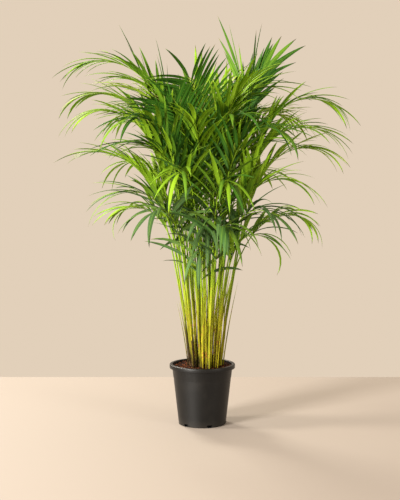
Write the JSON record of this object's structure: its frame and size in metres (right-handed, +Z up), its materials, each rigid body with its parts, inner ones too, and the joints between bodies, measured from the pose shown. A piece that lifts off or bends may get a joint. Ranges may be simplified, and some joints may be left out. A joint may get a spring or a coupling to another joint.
{
  "type": "potted palm",
  "caption": "Clump of young feather palms with arching fronds, standing in a plain tapered nursery pot filled with potting mix.",
  "frame": {"origin": "middle of the pot's flat underside", "axes": "+Z up along the pot's axis; +X to the right as the plant is seen in the picture, +Y to the back"},
  "size_m": [1.0319, 0.8494, 1.3006],
  "materials": {
    "pot": "satin",
    "soil": "matte",
    "palm": "satin"
  },
  "bodies": {
    "root": {"pot": "pot", "soil": "soil", "palm_00": "palm", "palm_01": "palm", "palm_02": "palm", "palm_03": "palm", "palm_04": "palm", "palm_05": "palm", "palm_06": "palm", "palm_07": "palm", "palm_08": "palm", "palm_09": "palm", "palm_10": "palm", "palm_11": "palm", "palm_12": "palm", "palm_13": "palm", "palm_14": "palm", "palm_15": "palm", "palm_16": "palm", "palm_17": "palm", "palm_18": "palm", "palm_19": "palm", "palm_20": "palm", "palm_21": "palm", "palm_22": "palm", "palm_23": "palm"}
  },
  "joints": []
}
